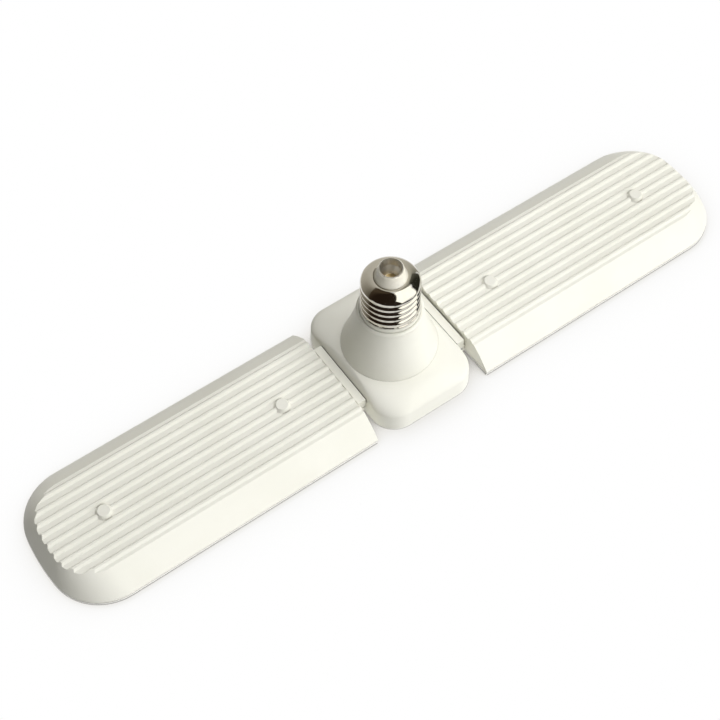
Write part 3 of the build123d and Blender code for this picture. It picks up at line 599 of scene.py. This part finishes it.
def paper():
    """Material of the floor: clear, with the lamp's shadow for the camera."""
    made = bpy.data.materials.new("paper_white_clear")
    made.use_nodes = True
    tree = made.node_tree
    tree.nodes.clear()
    wide = add(tree, "ShaderNodeAmbientOcclusion", {"Distance": SHADOW_REACH, "Normal": SHADOW_LOOKS},
               samples=16)
    tight = add(tree, "ShaderNodeAmbientOcclusion", {"Distance": CONTACT_REACH}, samples=16)
    soft = add(tree, "ShaderNodeValToRGB", links={"Fac": wide.outputs["AO"]}, stops=SHADOW_SHADES)
    line = add(tree, "ShaderNodeValToRGB", links={"Fac": tight.outputs["AO"]}, stops=CONTACT_SHADES)
    shade = add(tree, "ShaderNodeMix", {"Factor": 1.0},
                {"A": soft.outputs["Color"], "B": line.outputs["Color"]},
                data_type="RGBA", blend_type="MULTIPLY")
    shaded = add(tree, "ShaderNodeBsdfTransparent", links={"Color": shade.outputs["Result"]})
    clear = add(tree, "ShaderNodeBsdfTransparent", {"Color": (1, 1, 1, 1)})
    path = add(tree, "ShaderNodeLightPath")
    below = add(tree, "ShaderNodeNewGeometry")
    seen = add(tree, "ShaderNodeMath", operation="SUBTRACT", use_clamp=True,
               links={0: path.outputs["Is Camera Ray"], 1: below.outputs["Backfacing"]})
    both = add(tree, "ShaderNodeMixShader",
               links={0: seen.outputs["Value"], 1: clear.outputs["BSDF"], 2: shaded.outputs["BSDF"]})
    add(tree, "ShaderNodeOutputMaterial", links={"Surface": both.outputs["Shader"]})
    return made


def floor():
    """Square sheet just under the lamp."""
    mesh = bpy.data.meshes.new("floor")
    mesh.from_pydata([(x * FLOOR_HALF, y * FLOOR_HALF, 0) for x, y in ((-1, -1), (1, -1), (1, 1), (-1, 1))],
                     [], [(0, 1, 2, 3)])
    mesh.materials.append(paper())
    thing = bpy.data.objects.new("floor", mesh)
    thing.location.z = cad_box[0].z - FLOOR_GAP
    bpy.context.scene.collection.objects.link(thing)


floor()
print("floor:", 2 * FLOOR_HALF, "m square")

# %% [markdown]
# Two softboxes and the surround light the scene. The large one stands overhead and a little
# to the right, and gives most of the light, so the flat tops and the right slopes are bright
# and the left slopes fall off gently. The small one at the front right lifts the slopes and
# walls that face it. One strong bulb would give the same level, but its shadows would be
# hard. Mirrors don't see the softboxes, but the cards further below.

# %% Softboxes
def softbox(name, direction, distance, size, power, shade):
    """Rectangular soft light that looks at the lamp from a direction; metres and watts."""
    light = bpy.data.lights.new(name, "AREA")
    light.shape = "RECTANGLE"
    light.size, light.size_y = size
    light.energy = power
    light.color = srgb(shade)[:3]
    thing = bpy.data.objects.new(name, light)
    towards = Vector(direction).normalized()
    thing.location = towards * distance
    thing.rotation_euler = towards.to_track_quat("Z", "Y").to_euler()
    thing.visible_glossy = False
    bpy.context.scene.collection.objects.link(thing)


softbox("key_softbox", direction=(0.62, -0.72, 0.45), distance=1.3, size=(0.6, 0.5), power=2.6,
        shade="#fffefa")
softbox("top_softbox", direction=(0.28, -0.12, 1.0), distance=1.6, size=(1.3, 1.3), power=21.0,
        shade="#ffffff")
print("softboxes:", [light.name for light in bpy.data.lights])

# %% [markdown]
# The surround is plain white to the camera, in mirrors and through glass, at a strength of 1.
# As light it is a dim room: its walls and the paper below send most from the front right,
# and least from the left. Compass angles run from +X, anticlockwise seen from above.

# %% Surround
LIT_WALLS = [(-180, "#1c1b16"), (-155, "#34322b"), (-112, "#dcdcd8"), (-75, "#ffffff"), (-35, "#d8d8d6"),
             (10, "#9c9a90"), (90, "#8a877a"), (180, "#1c1b16")]
CEILING, CEILING_STARTS, CEILING_FULL = "#262626", 0.3, 0.7  # its colour, and how far up it blends in
ROOM_LIGHT = 1.5


def round_about(tree, towards, stops):
    """Colour that changes round the compass."""
    around = add(tree, "ShaderNodeTexGradient", links={"Vector": towards}, gradient_type="RADIAL")
    ramp = add(tree, "ShaderNodeValToRGB", links={"Fac": around.outputs["Fac"]},
               stops=[(degrees / 360 + 0.5, code) for degrees, code in stops])
    return ramp.outputs["Color"]


def surround():
    """White to the camera, in mirrors and through glass, and a dim room as light."""
    world = bpy.data.worlds.new("surround")
    bpy.context.scene.world = world
    world.use_nodes = True
    tree = world.node_tree
    towards = add(tree, "ShaderNodeTexCoord").outputs["Generated"]
    height = add(tree, "ShaderNodeSeparateXYZ", links={"Vector": towards}).outputs["Z"]
    overhead = add(tree, "ShaderNodeMapRange", {"From Min": CEILING_STARTS, "From Max": CEILING_FULL},
                   {"Value": height})
    room = add(tree, "ShaderNodeMix", {"B": srgb(CEILING)},
               {"Factor": overhead.outputs["Result"], "A": round_about(tree, towards, LIT_WALLS)},
               data_type="RGBA")
    light = add(tree, "ShaderNodeBackground", {"Strength": ROOM_LIGHT}, {"Color": room.outputs["Result"]})
    white = add(tree, "ShaderNodeBackground", {"Color": (1, 1, 1, 1), "Strength": 1.0})
    path = add(tree, "ShaderNodeLightPath")
    sight = add(tree, "ShaderNodeMath", operation="MAXIMUM",
                links={0: path.outputs["Is Camera Ray"], 1: path.outputs["Is Transmission Ray"]})
    direct = add(tree, "ShaderNodeMath", operation="MAXIMUM",
                 links={0: sight.outputs["Value"], 1: path.outputs["Is Glossy Ray"]})
    both = add(tree, "ShaderNodeMixShader",
               links={0: direct.outputs["Value"], 1: light.outputs["Background"],
                      2: white.outputs["Background"]})
    tree.links.new(both.outputs["Shader"], tree.nodes["World Output"].inputs["Surface"])


surround()
print("surround:", bpy.context.scene.world.name)

# %% [markdown]
# Bright nickel looks like nothing in an all-white room: it needs something dark to mirror.
# Photographers stand black curtains and white boards round it. Each card here is a patch of
# a large sphere round the lamp, given by its outline in compass angle and height over the
# horizon, and only mirrors see it. A painted sky could do the same, but cards can be placed
# and shaped one at a time. They hide much of the white surround from the cap, and they were
# shaped for the photograph's view, so from elsewhere its reflections are only plausible.

# %% Patch of a sphere
CURTAIN_DISTANCE, CARD_DISTANCE, ROOM_DISTANCE = 1.5, 1.6, 1.9
STEPS_PER_EDGE, RINGS, INNER_RING = 6, 12, 0.02


def flat_place(compass, height):
    """Place on the sphere's flat map, whose middle is straight up and whose distances are degrees."""
    return Vector((math.cos(math.radians(compass)), math.sin(math.radians(compass)))) * (90 - height)


def on_sphere(flat, radius):
    """Point of the sphere for a place on its flat map."""
    down, compass = math.radians(flat.length), math.atan2(flat.y, flat.x)
    level = math.sin(down)
    return Vector((level * math.cos(compass), level * math.sin(compass), math.cos(down))) * radius


def card_mesh(name, middle, outline, radius):
    """Rings of points from the middle out to the outline."""
    centre, corners = flat_place(*middle), [flat_place(*place) for place in outline]
    edge = [a.lerp(b, n / STEPS_PER_EDGE) for a, b in zip(corners, corners[1:] + corners[:1])
            for n in range(STEPS_PER_EDGE)]
    count = len(edge)
    outwards = [INNER_RING + (1 - INNER_RING) * n / RINGS for n in range(RINGS + 1)]
    points = [on_sphere(centre.lerp(place, part), radius) for part in outwards for place in edge]
    faces = [tuple(range(count))]
    for here in range(0, RINGS * count, count):
        for n in range(count):
            after = (n + 1) % count
            faces.append((here + n, here + after, here + count + after, here + count + n))
    mesh = bpy.data.meshes.new(name)
    mesh.from_pydata(points, [], faces)
    return mesh


print("straight up:", [round(c, 2) for c in on_sphere(flat_place(0, 90), CARD_DISTANCE)])

# %% Card that only mirrors see
def card(name, middle, outline, stops, strength=1.0, radius=CARD_DISTANCE):
    """Glowing patch of the sphere: middle and outline as compass angle and height, both in degrees."""
    mesh = card_mesh(name, middle, outline, radius)
    made = bpy.data.materials.new(name + "_cloth")
    made.use_nodes = True
    tree = made.node_tree
    tree.nodes.clear()
    place = add(tree, "ShaderNodeTexCoord").outputs["Object"]
    glow = add(tree, "ShaderNodeEmission", {"Strength": strength}, {"Color": round_about(tree, place, stops)})
    add(tree, "ShaderNodeOutputMaterial", links={"Surface": glow.outputs["Emission"]})
    mesh.materials.append(made)
    thing = bpy.data.objects.new(name, mesh)
    bpy.context.scene.collection.objects.link(thing)
    for ray in ("camera", "diffuse", "transmission", "volume_scatter", "shadow"):
        setattr(thing, "visible_" + ray, False)


print("card helper ready")

# %% [markdown]
# The room behind the lamp gives the dome's back its grey gradient. A dark curtain on the
# left and a doorway on the right give the two dark patches, and a white board between them
# the bright one. The paper's edge draws a thin dark line under each turn of the thread. Each
# outline was placed by following the camera's line of sight off the dome and the thread. The
# board is brighter than white, because the nickel gives back only about two thirds of it.

# %% Put the cards up
card("grey_room_card", (95, 15),
     [(18, -30), (10, 20), (0, 45), (-8, 62), (10, 74), (50, 78), (80, 80), (125, 82), (160, 66), (178, 30),
      (178, 0), (172, -22), (130, -30), (80, -30)],
     [(12, "#87857a"), (26, "#b9b6aa"), (50, "#d6d3c8"), (85, "#cac7be"), (112, "#b9b5aa"), (132, "#9b968b"),
      (150, "#7a7468"), (166, "#3f392f")], radius=ROOM_DISTANCE)
card("dark_curtain", (200, 45),
     [(164, -6), (190, -9), (220, -9), (249, -9), (258, -2), (270, 4), (257, 10), (249, 19), (256, 41),
      (262, 57), (268, 67), (276, 75), (300, 82), (20, 84), (60, 76), (85, 69), (105, 66), (130, 61),
      (150, 46), (160, 22)],
     [(-180, "#281e16"), (-112, "#281e16"), (150, "#4a3e30"), (175, "#281e16")], radius=CURTAIN_DISTANCE)
card("doorway_card", (-10, 22),
     [(-36, -14), (-32, 20), (-27, 38), (-12, 47), (6, 57), (22, 56), (20, 40), (14, 28), (11, 10),
      (13, -16)],
     [(-30, "#24231c"), (0, "#2c2b23"), (12, "#56554b")])
card("white_board", (-70, 35),
     [(-110, -9), (-110, 17), (-103, 41), (-96, 57), (-84, 72), (-72, 81), (0, 82), (12, 74), (-2, 62),
      (-12, 52), (-29, 43), (-35, 20), (-36, -9)],
     [(-180, "#fffdf4"), (180, "#fffdf4")], strength=1.7)
card("paper_edge_card", (-50, -17),
     [(-114, -24), (-114, -10), (-50, -10), (12, -10), (12, -24), (-50, -24)],
     [(-180, "#2b261f"), (180, "#2b261f")])
print("cards stand", CURTAIN_DISTANCE, "to", ROOM_DISTANCE, "m from the lamp")

# %% [markdown]
# The camera stands where the photograph's did: its place and its axes were worked out from
# the thread's rings and the panels' edges.

# %% Camera
CAMERA_PLACE_MM = (-205.3, -271.4, 525.6)
CAMERA_BACK, CAMERA_RIGHT = (-0.3096, -0.4441, 0.8408), (0.817, -0.5766, -0.0037)
LENS_MM, SENSOR_MM = 68.21, 36.0


def camera():
    """The photograph's camera."""
    data = bpy.data.cameras.new("camera")
    data.sensor_width = SENSOR_MM
    data.lens = LENS_MM
    thing = bpy.data.objects.new("camera", data)
    back = Vector(CAMERA_BACK).normalized()
    right = Vector(CAMERA_RIGHT)
    right = (right - right.dot(back) * back).normalized()
    axes = Matrix((right, back.cross(right), back)).transposed().to_4x4()
    thing.matrix_world = Matrix.Translation(Vector(CAMERA_PLACE_MM) * MM) @ axes
    bpy.context.scene.collection.objects.link(thing)
    bpy.context.scene.camera = thing


camera()
bpy.context.scene.view_settings.view_transform = "Standard"
print("camera:", bpy.context.scene.camera.name)
